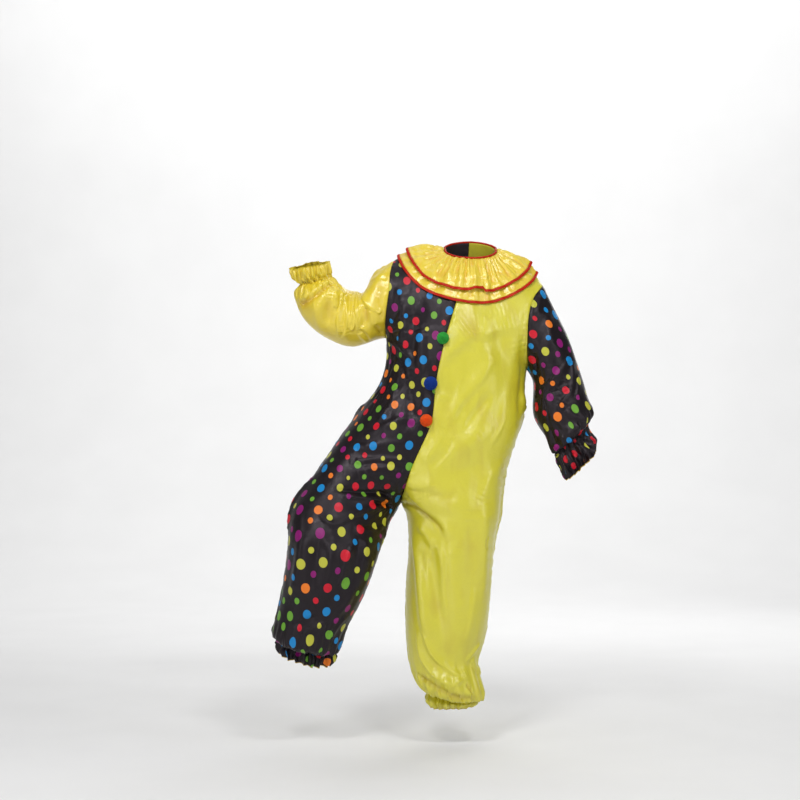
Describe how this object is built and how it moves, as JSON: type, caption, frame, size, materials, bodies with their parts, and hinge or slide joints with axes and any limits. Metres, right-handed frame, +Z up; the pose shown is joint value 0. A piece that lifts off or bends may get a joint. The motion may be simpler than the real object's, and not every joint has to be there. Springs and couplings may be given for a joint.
{
  "type": "clown jumpsuit",
  "caption": "Loose satin clown jumpsuit, half dotted and half plain, held open in a worn pose, with a tiered ruffle collar, gathered cuffs and ankles and front pompoms.",
  "frame": {"origin": "the middle of the neck between the shoulder seams, where the wearer holds the garment", "axes": "+Z up along the standing wearer, the front faces -Y, and the wearer's left is +X"},
  "size_m": [1.0068, 0.4003, 1.4622],
  "materials": {
    "dotted_satin": "black satin with coloured polka dots",
    "yellow_satin": "plain satin",
    "golden_satin": "plain satin",
    "collar_satin": "plain satin",
    "red_binding": "folded satin binding",
    "green_plush": "cut yarn",
    "blue_plush": "cut yarn",
    "orange_plush": "cut yarn"
  },
  "bodies": {
    "root": {"front_right": "dotted_satin", "back_right": "dotted_satin", "sleeve_left": "dotted_satin", "front_left": "yellow_satin", "back_left": "yellow_satin", "sleeve_right": "golden_satin", "collar_lower_tier": "collar_satin", "collar_upper_tier": "collar_satin", "lower_tier_binding": "red_binding", "upper_tier_binding": "red_binding", "neck_binding": "red_binding", "pompom_green": "green_plush", "pompom_blue": "blue_plush", "pompom_orange": "orange_plush"}
  },
  "joints": []
}
